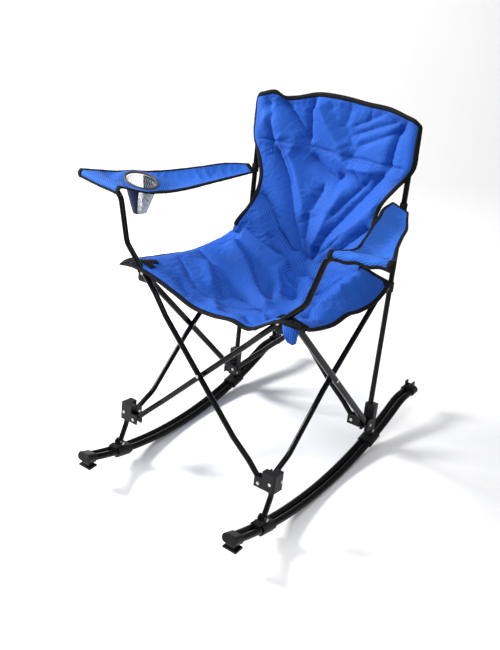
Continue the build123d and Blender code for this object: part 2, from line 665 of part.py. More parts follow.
CREASE = (100, 552)
SEAT_LINE = [(-284, 534), (-150, 522), (0, 527), (60, 540), CREASE]
BACK_LINE = [CREASE, (112, 610), (136, 700), (150, 800), (158, 900), (160, BACK_TOP)]
with BuildPart() as seat_sling:
    with BuildSketch(across(-SEAT_HALF, 0, 0)):
        cloth_profile(SEAT_LINE)
    extrude(amount=2 * SEAT_HALF)
save_leaned("seat_sling", seat_sling.part)

with BuildPart() as back_panel:
    with BuildSketch(across(-BACK_HALF, 0, 0)):
        cloth_profile(BACK_LINE)
    extrude(amount=2 * BACK_HALF)
    with BuildSketch(along(0, 0, 0)):
        for side in (-1, 1):
            with Locations((side * BACK_HALF, -570)):
                Rectangle(2 * 34, 160)
    extrude(amount=200, mode=Mode.SUBTRACT)
save_leaned("back_panel", back_panel.part)
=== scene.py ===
import math

import bpy
import numpy as np
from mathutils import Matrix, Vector
from mathutils.bvhtree import BVHTree


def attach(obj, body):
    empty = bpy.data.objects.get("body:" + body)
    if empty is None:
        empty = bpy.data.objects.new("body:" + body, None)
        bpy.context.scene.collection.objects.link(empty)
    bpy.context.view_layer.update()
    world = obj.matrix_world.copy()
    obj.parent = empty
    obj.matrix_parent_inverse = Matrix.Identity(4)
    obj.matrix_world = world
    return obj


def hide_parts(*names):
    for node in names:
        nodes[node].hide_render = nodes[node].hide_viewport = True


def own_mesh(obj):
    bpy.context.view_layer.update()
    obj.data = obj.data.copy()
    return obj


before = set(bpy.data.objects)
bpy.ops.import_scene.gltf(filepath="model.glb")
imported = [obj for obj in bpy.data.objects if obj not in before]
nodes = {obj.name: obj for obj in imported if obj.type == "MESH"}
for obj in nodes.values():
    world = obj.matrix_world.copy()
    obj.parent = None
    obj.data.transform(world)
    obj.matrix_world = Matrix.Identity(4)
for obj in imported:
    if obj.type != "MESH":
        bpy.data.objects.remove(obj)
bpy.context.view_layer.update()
scene = bpy.context.scene

# The chair leans back from its own upright frame: x to the sitter's left, n to the back and t up
# along the posts, all in millimetres
LEAN = math.radians(9)
BACKWARD = np.array([0, math.cos(LEAN), -math.sin(LEAN)])
UPWARD = np.array([0, math.sin(LEAN), math.cos(LEAN)])
ORIGIN = np.array([0, 10, -30])

# Millimetres: the tape's two rows from the cloth's edge, the sewn edge, and cut sizes for spacing
TAPE_NEAR, TAPE_FAR = 5, 10.5
SEWN_EDGE = 13
SEAT_SPAN, SEAT_DEPTH = 560, 480
BACK_SPAN, BACK_HEIGHT = 520, 560
# How firmly free cloth keeps its drawn folds while it settles, from 0 to 1
SEAT_HOLD, ARM_HOLD = 0.3, 0.05
# What the folds' listed heights are multiplied by
SEAT_GAIN, BACK_GAIN = 1.45, 1.5
# Thickness of the cloth and width and height of a stitch, in metres
CLOTH, THIN_CLOTH = 0.0022, 0.0016
STITCH_WIDE, STITCH_HIGH = 0.00055, 0.00045


def place(points):
    """Points of the upright frame in millimetres, in the row frame in metres."""
    points = np.asarray(points, float)
    spread = points[..., 0:1] * np.array([1.0, 0, 0])
    return (ORIGIN + spread + points[..., 1:2] * BACKWARD + points[..., 2:3] * UPWARD) / 1000


# ---------------------------------------------------------------- materials


def shader(name):
    """A new material, its node tree and its main shader."""
    made = bpy.data.materials.new(name)
    made.use_nodes = True
    return made, made.node_tree, made.node_tree.nodes["Principled BSDF"]


def add_node(tree, kind, inputs=(), **settings):
    node = tree.nodes.new(kind)
    for key, value in settings.items():
        setattr(node, key, value)
    for key, value in dict(inputs).items():
        if isinstance(value, bpy.types.NodeSocket):
            tree.links.new(value, node.inputs[key])
        else:
            node.inputs[key].default_value = value
    return node


def ramp(tree, source, stops):
    """A colour ramp between (position, grey or colour) stops."""
    node = tree.nodes.new("ShaderNodeValToRGB")
    tree.links.new(source, node.inputs["Fac"])
    elements = node.color_ramp.elements
    while len(elements) < len(stops):
        elements.new(0.5)
    for element, (position, colour) in zip(elements, stops):
        element.position = position
        if not hasattr(colour, "__len__"):
            colour = (colour, colour, colour)
        element.color = (*colour, 1)
    return node.outputs["Color"]


def noise(tree, vector, scale, detail=3.0):
    settings = {"Vector": vector, "Scale": scale, "Detail": detail}
    return add_node(tree, "ShaderNodeTexNoise", settings).outputs["Fac"]


def bump(tree, height, strength, distance, below=None):
    settings = {"Height": height, "Strength": strength, "Distance": distance}
    if below is not None:
        settings["Normal"] = below
    return add_node(tree, "ShaderNodeBump", settings).outputs["Normal"]


def ribs(tree, vector, pitch, angle):
    """Straight ribs at a pitch in metres, turned by an angle in degrees."""
    turn = (0, 0, math.radians(angle))
    turned = add_node(tree, "ShaderNodeMapping", {"Vector": vector, "Rotation": turn})
    settings = {"Vector": turned.outputs["Vector"], "Scale": math.pi / 10 / pitch}
    made = add_node(tree, "ShaderNodeTexWave", settings, wave_type="BANDS", bands_direction="X")
    return made.outputs["Fac"]


def combine(tree, a, b, operation):
    return add_node(tree, "ShaderNodeMath", {0: a, 1: b}, operation=operation).outputs["Value"]


def hard_surface(name, dark, light, rough, grain, metal=0.0, shine=0.5):
    """Painted tube, moulded plastic or bare rivet: mottled colour, uneven gloss and fine grain."""
    made, tree, main = shader(name)
    where = add_node(tree, "ShaderNodeTexCoord").outputs["Object"]
    cloudy = noise(tree, where, 24, 4)
    tree.links.new(ramp(tree, cloudy, ((0.3, dark), (0.72, light))), main.inputs["Base Color"])
    gloss = ramp(tree, cloudy, ((0.3, rough[0]), (0.75, rough[1])))
    tree.links.new(gloss, main.inputs["Roughness"])
    normal = bump(tree, noise(tree, where, grain, 2), 0.2, 0.0002)
    tree.links.new(normal, main.inputs["Normal"])
    main.inputs["Metallic"].default_value = metal
    main.inputs["Specular IOR Level"].default_value = shine
    return made


def woven(name, dark, light, pitch, angle, dotted=False, sheen=0.04, shine=0.22):
    """Woven cloth: ribs or a dotted twill in the cloth's own metres, with soft shade differences."""
    made, tree, main = shader(name)
    cut = add_node(tree, "ShaderNodeUVMap", uv_map="cloth").outputs["UV"]
    where = add_node(tree, "ShaderNodeTexCoord").outputs["Object"]
    weave = ribs(tree, cut, pitch, angle)
    if dotted:
        weave = combine(tree, weave, ribs(tree, cut, pitch * 1.15, angle + 82), "MULTIPLY")
    across = ribs(tree, cut, 0.0012, 0)
    threads = combine(tree, across, ribs(tree, cut, 0.0012, 90), "ADD")
    fibre = noise(tree, cut, 1300, 2)
    tone = ramp(tree, weave, ((0.1, dark), (0.9, light)))
    patchy = ramp(tree, noise(tree, where, 9, 3), ((0.25, 0.85), (0.75, 1.0)))
    mixed = tree.nodes.new("ShaderNodeMix")
    mixed.data_type = "RGBA"
    mixed.blend_type = "MULTIPLY"
    mixed.inputs[0].default_value = 1.0
    tree.links.new(tone, mixed.inputs[6])
    tree.links.new(patchy, mixed.inputs[7])
    tree.links.new(mixed.outputs[2], main.inputs["Base Color"])
    tree.links.new(ramp(tree, fibre, ((0.2, 0.6), (0.8, 0.85))), main.inputs["Roughness"])
    normal = bump(tree, weave, 0.45, 0.0006)
    normal = bump(tree, threads, 0.25, 0.0002, normal)
    normal = bump(tree, fibre, 0.3, 0.0002, normal)
    tree.links.new(normal, main.inputs["Normal"])
    main.inputs["Sheen Weight"].default_value = sheen
    main.inputs["Sheen Roughness"].default_value = 0.45
    main.inputs["Specular IOR Level"].default_value = shine
    return made


STEEL = hard_surface(
    "frame_steel", (0.001, 0.001, 0.0012), (0.003, 0.003, 0.0035), (0.12, 0.22), 700, shine=0.14
)
PLASTIC = hard_surface(
    "hub_plastic", (0.003, 0.003, 0.0035), (0.008, 0.008, 0.009), (0.34, 0.5), 900, shine=0.18
)
RIVET = hard_surface("rivets", (0.3, 0.29, 0.27), (0.62, 0.61, 0.58), (0.24, 0.45), 1200, metal=1.0)
RING = hard_surface("cup_ring", (0.025, 0.022, 0.02), (0.05, 0.044, 0.04), (0.4, 0.6), 800)
NET = hard_surface("net_cord", (0.42, 0.44, 0.48), (0.6, 0.62, 0.65), (0.6, 0.8), 900)
SEAT_BLUE = woven("seat_blue", (0.003, 0.046, 0.3), (0.012, 0.11, 0.52), 0.005, 0)
BACK_BLUE = woven("back_blue", (0.005, 0.058, 0.35), (0.018, 0.15, 0.62), 0.0046, 38, dotted=True)
ARM_BLUE = woven("arm_blue", (0.006, 0.068, 0.38), (0.016, 0.135, 0.58), 0.0046, 45)
BLACK_TAPE = woven(
    "black_tape", (0.002, 0.002, 0.002), (0.006, 0.006, 0.0065), 0.002, 90, sheen=0.0, shine=0.12
)
NAVY = woven(
    "strap_navy", (0.002, 0.005, 0.02), (0.006, 0.016, 0.075), 0.003, 90, sheen=0.05, shine=0.15
)
THREAD = woven("thread", (0.006, 0.03, 0.2), (0.012, 0.055, 0.32), 0.0012, 45)

# ---------------------------------------------------------------- curves and grids


def curve(points, params):
    """A smooth curve through points at params from 0 to 1 of its length."""
    points = np.asarray(points, float)
    steps = np.linalg.norm(np.diff(points, axis=0), axis=1)
    knots = np.concatenate([[0], np.cumsum(steps)])
    knots /= knots[-1]
    slopes = np.gradient(points, knots, axis=0)
    params = np.clip(np.asarray(params, float), 0, 1)
    part = np.clip(np.searchsorted(knots, params, side="right") - 1, 0, len(knots) - 2)
    width = knots[part + 1] - knots[part]
    s = ((params - knots[part]) / width)[:, None]
    width = width[:, None]
    return (
        (2 * s**3 - 3 * s**2 + 1) * points[part]
        + (s**3 - 2 * s**2 + s) * width * slopes[part]
        + (3 * s**2 - 2 * s**3) * points[part + 1]
        + (s**3 - s**2) * width * slopes[part + 1]
    )


def loft(rows, us, vs):
    """A grid through rows of points: us along each row, vs from row to row."""
    lines = np.array([curve(row, us) for row in rows])
    return np.stack([curve(lines[:, i], vs) for i in range(len(us))], axis=1)


def patch(front, rear, left, right, us, vs):
    """A grid that fills four edges."""
    front, rear = curve(front, us), curve(rear, us)
    left, right = curve(left, vs), curve(right, vs)
    u, v = us[None, :, None], vs[:, None, None]
    ruled = (1 - v) * front[None] + v * rear[None]
    sides = (1 - u) * left[:, None] + u * right[:, None]
    corners = (1 - u) * (1 - v) * front[0] + u * (1 - v) * front[-1]
    corners = corners + (1 - u) * v * rear[0] + u * v * rear[-1]
    return ruled + sides - corners


def spaced(count, length):
    """Params with two close steps at each end, for a tape that folds over the edge."""
    near, far = TAPE_NEAR / length, TAPE_FAR / length
    middle = np.linspace(far, 1 - far, count)
    return np.concatenate([[0, near], middle, [1 - near, 1]])


def edge_distance(us, vs, span, depth):
    """Distance of each grid point from the nearest edge of its cloth, in millimetres."""
    across = np.minimum(us, 1 - us)[None, :] * span
    return np.minimum(across, np.minimum(vs, 1 - vs)[:, None] * depth)


def nearest(line, flat_points):
    """Distance from each 2-D point to a polyline, and how far along it in length."""
    line = np.asarray(line, float)
    best = np.full(flat_points.shape[:-1], 1e9)
    along = np.zeros_like(best)
    run = 0.0
    for a, b in zip(line[:-1], line[1:]):
        d = b - a
        length = np.linalg.norm(d)
        s = np.clip(((flat_points - a) @ d) / length**2, 0, 1)
        gap = np.linalg.norm(flat_points - (a + s[..., None] * d), axis=-1)
        closer = gap < best
        best = np.where(closer, gap, best)
        along = np.where(closer, run + s * length, along)
        run += length
    return best, along, run


def folds(flat_points, lines):
    """Heights of folds: (polyline, height, width, sharpness) each, fading at the polyline's ends."""
    total = np.zeros(flat_points.shape[:-1])
    for line, height, width, power in lines:
        gap, along, run = nearest(line, flat_points)
        fade = np.clip(along / 28 + 0.25, 0, 1) * np.clip((run - along) / 28 + 0.25, 0, 1)
        total += height * fade * np.exp(-((gap / width) ** power))
    return total


def mesh_object(name, points, faces, material, cut=None):
    made = bpy.data.meshes.new(name)
    made.from_pydata([tuple(p) for p in points], [], [tuple(f) for f in faces])
    made.validate()
    layer = made.uv_layers.new(name="cloth")
    where = np.zeros((len(made.loops), 2))
    index = np.zeros(len(made.loops), int)
    made.loops.foreach_get("vertex_index", index)
    flat = np.asarray(points)[:, :2] if cut is None else np.asarray(cut)
    where[:] = flat[index]
    layer.data.foreach_set("uv", where.ravel())
    made.polygons.foreach_set("use_smooth", np.ones(len(made.polygons), bool))
    made.materials.append(material)
    shown = bpy.data.objects.new(name, made)
    scene.collection.objects.link(shown)
    return shown


def grid_faces(rows, columns, wrap=False):
    faces = []
    for r in range(rows - 1):
        for c in range(columns if wrap else columns - 1):
            d = (c + 1) % columns
            this, after = r * columns, (r + 1) * columns
            faces.append((this + c, this + d, after + d, after + c))
    return faces


def lengths(points):
    """Cut coordinates in metres of a grid: length along its middle row and its middle column."""
    rows, columns = points.shape[:2]
    across = np.linalg.norm(np.diff(points, axis=1), axis=2).mean(axis=0)
    down = np.linalg.norm(np.diff(points, axis=0), axis=2).mean(axis=1)
    u = np.concatenate([[0], np.cumsum(across)])
    v = np.concatenate([[0], np.cumsum(down)])
    return np.stack(np.meshgrid(u, v), axis=-1), (u[-1], v[-1])


def grid_normals(points):
    cross = np.cross(np.gradient(points, axis=1), np.gradient(points, axis=0))
    return cross / np.maximum(np.linalg.norm(cross, axis=2, keepdims=True), 1e-12)


def bake(obj):
    """The object with its modifiers made part of its mesh."""
    seen = obj.evaluated_get(bpy.context.evaluated_depsgraph_get())
    made = bpy.data.meshes.new_from_object(seen)
    obj.modifiers.clear()
    obj.data = made
    return obj


def settle(name, points, material, hold, slack, frames):
    """A cloth run from a grid: hold is 1 where a point is sewn down and small where it is free."""
    rows, columns = points.shape[:2]
    cut, _ = lengths(points)
    faces = grid_faces(rows, columns)
    obj = mesh_object(name, points.reshape(-1, 3), faces, material, cut.reshape(-1, 2))
    group = obj.vertex_groups.new(name="sewn")
    for index, weight in enumerate(hold.ravel()):
        group.add([index], float(weight), "REPLACE")
    cloth = obj.modifiers.new("cloth", "CLOTH")
    cloth.settings.quality = 6
    cloth.settings.mass = 0.15
    cloth.settings.tension_stiffness = 20
    cloth.settings.compression_stiffness = 20
    cloth.settings.shear_stiffness = 8
    cloth.settings.bending_stiffness = 0.1
    cloth.settings.air_damping = 3
    cloth.settings.vertex_group_mass = "sewn"
    cloth.settings.pin_stiffness = 1.0
    cloth.settings.shrink_min = -slack
    cloth.settings.effector_weights.gravity = 0.25
    cloth.point_cache.frame_start = 1
    cloth.point_cache.frame_end = frames
    for number in range(1, frames + 1):
        scene.frame_set(number)
    bake(obj)
    scene.frame_set(1)
    placed = np.zeros(rows * columns * 3)
    obj.data.vertices.foreach_get("co", placed)
    return obj, placed.reshape(rows, columns, 3)


def thicken(obj, thickness):
    solid = obj.modifiers.new("thickness", "SOLIDIFY")
    solid.thickness = thickness
    solid.offset = 0
    return bake(obj)


def tape(name, points, edges):
    """Binding tape folded over edges of a grid: front, rear, left or right."""
    normals = grid_normals(points)
    rings, faces, cuts = [], [], []
    generator = np.random.default_rng(7)
    for edge in edges:
        if edge in ("left", "right"):
            order = [0, 1, 2] if edge == "left" else [-1, -2, -3]
            outer, inner, last = (points[:, i] for i in order)
            normal = normals[:, order[1]]
        else:
            order = [0, 1, 2] if edge == "front" else [-1, -2, -3]
            outer, inner, last = (points[i] for i in order)
            normal = normals[order[1]]
        out = outer - inner
        out /= np.maximum(np.linalg.norm(out, axis=1, keepdims=True), 1e-9)
        count = len(outer)
        uneven = np.convolve(generator.standard_normal(count), [0.3, 0.4, 0.3], "same")
        pucker = 0.0025 + 0.0006 * uneven
        lift = normal * np.clip(pucker, 0.002, 0.0036)[:, None]
        section = [
            outer + out * 0.003,
            outer + out * 0.001 + lift * 0.85,
            inner + lift,
            last + lift * 0.9,
            last - out * 0.0006,
            last - lift * 0.9,
            inner - lift,
            outer + out * 0.001 - lift * 0.85,
        ]
        start = sum(len(r) for r in rings)
        ring = np.stack(section, axis=1).reshape(-1, 3)
        rings.append(ring)
        walk = np.concatenate([[0], np.cumsum(np.linalg.norm(np.diff(outer, axis=0), axis=1))])
        around = np.arange(8) * 0.003
        cuts.append(np.stack(np.meshgrid(around, walk), axis=-1).reshape(-1, 2))
        faces += [tuple(start + i for i in f) for f in grid_faces(count, 8, wrap=True)]
        faces.append(tuple(start + i for i in range(8)))
        faces.append(tuple(start + (count - 1) * 8 + i for i in reversed(range(8))))
    return mesh_object(name, np.concatenate(rings), faces, BLACK_TAPE, np.concatenate(cuts))


def surface_of(obj):
    """A tree to find the cloth's surface."""
    return BVHTree.FromObject(obj, bpy.context.evaluated_depsgraph_get())


def lie_on(tree, points, lift, toward):
    """Points dropped on a surface along a direction and raised off it by lift."""
    toward = Vector(toward)
    out = []
    for p in points:
        start = Vector(p) - toward * 0.08
        hit, normal, _, _ = tree.ray_cast(start, toward, 0.2)
        if hit is None:
            hit, normal, _, _ = tree.find_nearest(Vector(p))
        if normal.dot(toward) > 0:
            normal = -normal
        out.append(hit + normal * lift)
    return np.array([tuple(p) for p in out])


def ribbon(name, tree, line, width, thickness, material, toward, lift=0.0012, count=24):
    """A flat strip laid on a surface along a line."""
    centre = curve(place(line), np.linspace(0, 1, count))
    toward = np.asarray(toward, float)
    ahead = np.gradient(centre, axis=0)
    side = np.cross(ahead, toward)
    side /= np.linalg.norm(side, axis=1, keepdims=True)
    offsets = np.linspace(-0.5, 0.5, 5) * width / 1000
    rows = [lie_on(tree, centre + side * o, lift, toward) for o in offsets]
    points = np.stack(rows, axis=1)
    cut, _ = lengths(points)
    faces = grid_faces(count, 5)
    obj = mesh_object(name, points.reshape(-1, 3), faces, material, cut.reshape(-1, 2))
    return thicken(obj, thickness / 1000)


def stitches(name, tree, lines, toward, pitch=5.0, long=3.4):
    """Rows of single stitches sunk in a surface."""
    points, faces = [], []
    toward = np.asarray(toward, float)
    for line in lines:
        path = place(line)
        run = np.linalg.norm(np.diff(path, axis=0), axis=1).sum() * 1000
        count = int(run / pitch)
        starts = np.arange(count) * pitch / run
        for s in starts:
            ends = curve(path, [s, s + long / 2 / run, s + long / run])
            ends = lie_on(tree, ends, 0.0013, toward)
            along = ends[2] - ends[0]
            along /= np.linalg.norm(along)
            side = np.cross(along, toward)
            side /= np.linalg.norm(side)
            high = np.cross(side, along)
            high *= -np.sign(high @ toward)
            base = len(points)
            for point, size, rise in zip(ends, (0.5, 1.0, 0.5), (-0.0002, 0.0002, -0.0002)):
                for k in range(6):
                    angle = k * math.pi / 3
                    spoke = side * math.cos(angle) * STITCH_WIDE + high * math.sin(angle) * STITCH_HIGH
                    points.append(point + high * rise + spoke * size)
            for ring in range(2):
                for k in range(6):
                    d = (k + 1) % 6
                    a = base + ring * 6
                    faces.append((a + k, a + d, a + 6 + d, a + 6 + k))
            faces.append(tuple(base + k for k in reversed(range(6))))
            faces.append(tuple(base + 12 + k for k in range(6)))
    return mesh_object(name, np.array(points), faces, THREAD)


# ---------------------------------------------------------------- seat

FRONT_EDGE = [
    (-299, -321, 571),
    (-246, -323, 577),
    (-200, -318, 568),
    (-109, -316, 543),
    (-42, -314, 522),
    (20, -316, 521),
    (92, -319, 529),
    (139, -318, 523),
    (174, -320, 541),
    (215, -322, 566),
    (250, -323, 578),
    (299, -321, 571),
]
REAR_EDGE = [
    (-258, 156, 580),
    (-240, 128, 596),
    (-200, 108, 590),
    (-130, 106, 574),
    (-60, 113, 556),
    (0, 116, 545),
    (60, 110, 556),
    (120, 94, 578),
    (170, 82, 604),
    (205, 74, 628),
    (232, 106, 608),
    (258, 156, 580),
]
FAR_SIDE = [
    (-299, -321, 571),
    (-299, -300, 579),
    (-290, -244, 578),
    (-284, -151, 573),
    (-280, -50, 569),
    (-276, 20, 579),
    (-270, 80, 592),
    (-264, 109, 605),
    (-260, 135, 598),
    (-258, 156, 580),
]
NEAR_SIDE = [
    (299, -321, 571),
    (297, -300, 575),
    (276, -270, 554),
    (268, -193, 534),
    (264, -115, 528),
    (266, -71, 539),
    (264, -5, 534),
    (268, 69, 545),
    (266, 116, 564),
    (258, 156, 580),
]
# Where the back's foot meets the seat
CREASE = [
    (-258, 95, 605),
    (-190, 97, 568),
    (-100, 98, 548),
    (0, 96, 536),
    (100, 84, 558),
    (206, 58, 612),
]

seat_u = spaced(100, SEAT_SPAN)
seat_v = spaced(84, SEAT_DEPTH)
seat_flat = patch(FRONT_EDGE, REAR_EDGE, FAR_SIDE, NEAR_SIDE, seat_u, seat_v)
seat_plan = seat_flat[..., :2]
crease_plan = [p[:2] for p in CREASE]
gap, along, run = nearest(crease_plan, seat_plan)
wanted = np.interp(along / run, [0, 0.15, 0.34, 0.54, 0.76, 1], [p[2] for p in CREASE])
pull = np.exp(-((gap / 15) ** 2)) * np.clip(np.minimum(along, run - along) / 30 + 0.3, 0, 1)
seat_folds = folds(
    seat_plan,
    [
        ([(-205, 64), (-120, 58), (-60, 60), (-16, 72)], 24, 18, 1.6),
        ([(-272, -48), (-134, -95), (-6, -120), (96, -168)], -13, 12, 1.15),
        ([(-213, 30), (-105, -14), (0, -92), (70, -150)], 19, 24, 1.3),
        ([(-120, 28), (-40, -26), (45, -98)], -15, 15, 1.2),
        ([(-50, 50), (0, 0), (62, -84)], 15, 17, 1.4),
        ([(0, 76), (52, 16), (90, -60)], -14, 13, 1.2),
        ([(40, 70), (110, -10), (150, -120)], 12, 20, 1.5),
        ([(-245, -153), (-109, -226), (-17, -205), (61, -149)], -4, 6, 1.2),
        ([(-200, -80), (-90, -180)], 9, 20, 1.6),
        ([(-140, -90), (-50, -175)], -10, 12, 1.2),
        ([(-60, -215), (20, -290)], 8, 18, 1.5),
        ([(-160, -240), (-80, -285)], -6, 14, 1.3),
        ([(120, -60), (165, 70), (222, 140)], -5, 6, 1.2),
        ([(60, -230), (150, -290)], -9, 14, 1.3),
        ([(170, -60), (215, -190)], -10, 16, 1.4),
        ([(225, -30), (160, 10), (90, 40)], 10, 15, 1.4),
        ([(60, 80), (120, 30), (190, -10)], -9, 13, 1.2),
        ([(150, 60), (235, 40)], -8, 12, 1.3),
        ([(-30, 52), (10, 30), (60, 34)], 6, 8, 1.3),
        ([(-60, 20), (-20, -20)], -5, 7, 1.2),
        ([(20, -100), (50, -60), (60, -20)], -6, 8, 1.2),
        ([(-190, -180), (-150, -210)], -4, 8, 1.2),
        ([(90, -190), (130, -230)], 5, 9, 1.3),
    ],
)
seat_edge = edge_distance(seat_u, seat_v, SEAT_SPAN, SEAT_DEPTH)
inside = np.clip(seat_edge / 30, 0, 1)
side_calm = np.clip((seat_plan[..., 0] + 285) / 95, 0, 1)
raised = (1 - pull) * SEAT_GAIN * seat_folds * inside * side_calm
seat_flat[..., 2] += raised + pull * inside * (wanted - seat_flat[..., 2])
hold = np.where(seat_edge < SEWN_EDGE, 1.0, SEAT_HOLD)
hold = np.maximum(hold, np.where(gap < 7, 1.0, 0.0))
corner = np.hypot(np.abs(seat_plan[..., 0]) - 246, seat_plan[..., 1] + 308)
hold = np.maximum(hold, np.where(corner < 45, 1.0, 0.0))
seat, seat_grid = settle("seat_cloth", place(seat_flat), SEAT_BLUE, hold, 0.035, 24)


# ---------------------------------------------------------------- back

BACK_ROWS = [
    [(-256, 93, 603), (-190, 96, 566), (-100, 97, 546), (0, 96, 534), (100, 83, 555), (206, 56, 608)],
    [(-238, 84, 645), (-190, 100, 628), (-100, 112, 604), (0, 116, 586), (110, 98, 615), (206, 62, 640)],
    [(-212, 108, 700), (-110, 134, 690), (0, 150, 680), (110, 132, 690), (204, 104, 700)],
    [(-205, 126, 738), (-110, 152, 733), (0, 168, 730), (110, 150, 733), (201, 116, 740)],
    [(-209, 142, 782), (-110, 170, 780), (0, 184, 780), (110, 168, 780), (205, 132, 784)],
    [
        (-236, 156, 838),
        (-205, 160, 838),
        (-120, 182, 838),
        (0, 194, 838),
        (120, 180, 838),
        (200, 160, 836),
        (230, 156, 834),
    ],
    [
        (-265, 168, 890),
        (-250, 158, 888),
        (-225, 160, 886),
        (-130, 184, 885),
        (0, 196, 884),
        (130, 184, 884),
        (225, 160, 886),
        (250, 158, 888),
        (265, 168, 890),
    ],
    [
        (-267, 168, 945),
        (-250, 158, 945),
        (-225, 160, 945),
        (-130, 180, 945),
        (0, 192, 945),
        (130, 180, 945),
        (225, 160, 945),
        (250, 158, 945),
        (267, 168, 945),
    ],
    [
        (-266, 168, 990),
        (-254, 160, 1008),
        (-235, 158, 1015),
        (-195, 162, 1024),
        (-171, 168, 1013),
        (-140, 172, 1016),
        (-65, 182, 1036),
        (16, 186, 1038),
        (95, 182, 1033),
        (171, 170, 1031),
        (223, 160, 1021),
        (252, 159, 1013),
        (266, 168, 1000),
    ],
]
back_u = spaced(104, BACK_SPAN)
back_v = spaced(104, BACK_HEIGHT)
back_flat = loft(BACK_ROWS, back_u, back_v)
back_face = back_flat[..., [0, 2]]
back_folds = folds(
    back_face,
    [
        ([(-184, 1014), (-106, 924), (-91, 888)], -17, 15, 1.1),
        ([(-235, 960), (-160, 915), (-98, 892)], 13, 32, 1.6),
        ([(-73, 1026), (-88, 979), (-91, 886)], -13, 10, 1.1),
        ([(-66, 1020), (-20, 950), (43, 872)], 13, 24, 1.3),
        ([(40, 1025), (25, 960), (62, 905)], -7, 20, 1.4),
        ([(205, 1006), (51, 940)], -8, 10, 1.2),
        ([(160, 1018), (45, 962)], -6, 9, 1.2),
        ([(215, 982), (70, 912)], -7, 11, 1.2),
        ([(225, 1005), (196, 965), (186, 896), (184, 862)], -17, 13, 1.2),
        ([(-150, 905), (-176, 893), (-150, 882), (-88, 886)], 6, 12, 1.4),
        ([(-226, 1005), (-205, 960), (-200, 900), (-196, 850)], -9, 14, 1.3),
        ([(-80, 864), (-20, 822), (23, 806), (50, 840)], -14, 18, 1.3),
        ([(15, 874), (52, 850), (150, 858)], 9, 13, 1.3),
        ([(-191, 872), (-131, 781), (-82, 681), (-38, 600), (-4, 556)], -16, 14, 1.15),
        ([(-145, 877), (-62, 741), (-30, 690)], 12, 22, 1.5),
        ([(-16, 790), (-37, 710), (-30, 634), (0, 560)], -12, 11, 1.15),
        ([(60, 800), (30, 720), (8, 610)], 10, 24, 1.5),
        ([(180, 867), (93, 740), (37, 654), (4, 560)], -16, 15, 1.15),
        ([(135, 838), (75, 765), (30, 700)], -8, 11, 1.2),
        ([(205, 800), (140, 720), (60, 640)], 12, 24, 1.5),
        ([(195, 730), (120, 650), (30, 570)], -11, 15, 1.2),
        ([(-195, 735), (-153, 700), (-109, 640), (-40, 572)], -10, 12, 1.15),
        ([(-180, 690), (-120, 620)], 7, 18, 1.5),
        ([(-150, 860), (-120, 800), (-105, 750)], -4, 6, 1.1),
        ([(70, 862), (100, 820), (150, 800)], -4, 6, 1.1),
        ([(-60, 780), (-20, 745)], 4, 7, 1.3),
        ([(-105, 640), (-70, 600), (-20, 575)], -5, 7, 1.1),
        ([(110, 690), (70, 640), (20, 590)], -5, 7, 1.1),
        ([(-30, 1022), (-10, 985)], -4, 8, 1.2),
        ([(110, 1020), (98, 985)], -4, 8, 1.2),
        ([(60, 930), (10, 900)], 4, 8, 1.3),
        ([(-240, 884), (-88, 888), (42, 880), (174, 882), (250, 886)], -3.5, 5, 1.3),
    ],
)
back_edge = edge_distance(back_u, back_v, BACK_SPAN, BACK_HEIGHT)
back_inside = np.clip(back_edge / 22, 0, 1)
post_near = np.exp(-(((np.abs(back_face[..., 0]) - 250) / 14) ** 2)) * (back_face[..., 1] > 830)
back_flat[..., 1] -= BACK_GAIN * back_folds * back_inside * (1 - post_near)
back_hold = np.where(back_edge < SEWN_EDGE, 1.0, SEAT_HOLD)
back_hold = np.maximum(back_hold, np.where(post_near > 0.4, 1.0, 0.0))
back, back_grid = settle("back_cloth", place(back_flat), BACK_BLUE, back_hold, 0.035, 24)


def fold_seat(obj):
    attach(obj, "seat")
    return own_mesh(obj)


def fold_back(obj):
    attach(obj, "back")
    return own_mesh(obj)


def pocket(side):
    """The pocket behind a post, sewn to the back's side edge."""
    sign = -1 if side == "right" else 1
    column = 0 if sign < 0 else -1
    rows = np.nonzero(back_flat[:, column, 2] > 848)[0]
    outer = back_grid[rows, column]
    steps = [(-5, 9.5), (-14, 15), (-26, 15.5), (-40, 11), (-50, 7)]
    sheets = [outer]
    for inward, behind in steps:
        sheets.append(outer + np.array([sign * inward / 1000, 0, 0]) + BACKWARD * (behind / 1000))
    points = np.stack(sheets, axis=1)
    upward, inward = np.linspace(0, 1, 44), np.linspace(0, 1, 20)
    fine = loft([points[:, i] for i in range(points.shape[1])], upward, inward)
    bulge = np.sin(np.linspace(0, 9 * math.pi, 44)) * 0.0012
    fine += (bulge[None, :] * inward[:, None])[..., None] * BACKWARD
    cut, _ = lengths(fine)
    faces = grid_faces(20, 44)
    name = side + "_back_pocket"
    obj = mesh_object(name, fine.reshape(-1, 3), faces, BACK_BLUE, cut.reshape(-1, 2))
    return thicken(obj, THIN_CLOTH)


pockets = [pocket("left"), pocket("right")]

seat_tree = surface_of(seat)
back_tree = surface_of(back)
DOWN = -UPWARD

seat_tape = tape("seat_binding", seat_grid, ("front", "rear", "left", "right"))
back_tape = tape("back_binding", back_grid[9:], ("rear", "left", "right"))

